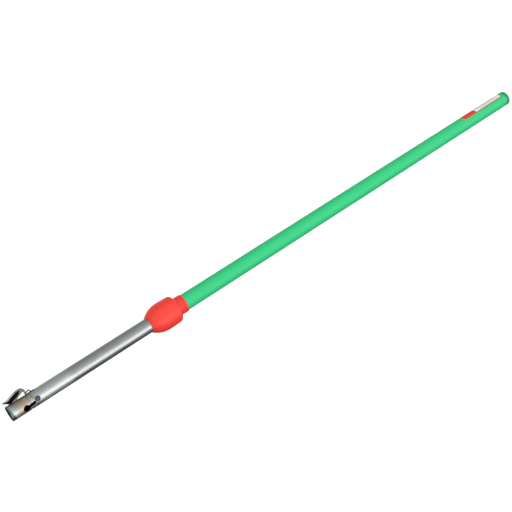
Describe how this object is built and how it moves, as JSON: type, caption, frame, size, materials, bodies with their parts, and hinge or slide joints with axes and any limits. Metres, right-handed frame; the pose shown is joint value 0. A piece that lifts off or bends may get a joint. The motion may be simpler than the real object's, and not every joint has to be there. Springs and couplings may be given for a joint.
{
  "type": "roller extension pole",
  "caption": "Telescopic extension pole for a paint roller, with a handle socket, a sprung latch lever, a twist lock and a plastic-coated grip tube.",
  "frame": {"origin": "centre of the handle socket's mouth, on the pole's axis", "axes": "+X along the pole from the socket's mouth to the grip end, +Z towards the latch lever, -Y towards the keyhole's side"},
  "size_m": [1.0015, 0.0424, 0.0432],
  "materials": {
    "bright_steel": "polished",
    "lever_steel": "satin black",
    "spring_steel": "drawn wire",
    "pin_steel": "blued",
    "washer_steel": "zinc plated",
    "core_steel": "plain",
    "green_coating": "satin",
    "green_cap": "moulded",
    "red_nut": "moulded satin",
    "red_collar": "moulded satin",
    "white_nylon": "moulded",
    "black_rubber": "matt",
    "label_film": "printed film"
  },
  "bodies": {
    "outer_pole": {"outer_tube": "core_steel", "tube_coating": "green_coating", "threaded_bush": "red_collar", "bush_pins": "washer_steel", "split_collet": "white_nylon", "end_cap": "green_cap", "label": "label_film"},
    "lock_ring": {"thrust_ring": "white_nylon"},
    "lock_nut": {"lock_nut": "red_nut", "wiper_ring": "black_rubber", "nut_clip": "spring_steel"},
    "inner_pole": {"inner_tube": "bright_steel", "pivot_pin": "pin_steel", "pin_washers": "washer_steel", "pin_spacer": "washer_steel", "guide_bush": "white_nylon", "bush_rivets": "washer_steel", "stop_ring": "core_steel"},
    "latch": {"latch_lever": "lever_steel", "lever_spring": "spring_steel"}
  },
  "joints": [
    {"name": "inner_slide", "type": "slide", "parent": "outer_pole", "child": "inner_pole", "axis": [1, 0, 0], "range_m": [-0.49, 0.15]},
    {"name": "nut_travel", "type": "slide", "parent": "outer_pole", "child": "lock_ring", "axis": [-1, 0, 0], "range_m": [0, 0.0015]},
    {"name": "nut_turn", "type": "hinge", "parent": "lock_ring", "child": "lock_nut", "pos_m": [0.245, 0, 0], "axis": [-1, 0, 0], "range_deg": [0, 182]},
    {"name": "latch_open", "type": "hinge", "parent": "inner_pole", "child": "latch", "pos_m": [0.0395, 0, 0], "axis": [0, 1, 0], "range_deg": [0, 18], "stiffness_Nm_per_rad": 0.6, "springref_deg": -28.65}
  ],
  "couplings": [
    {"joint": "nut_turn", "follows": "nut_travel", "rad_per_m": 2094.4}
  ]
}
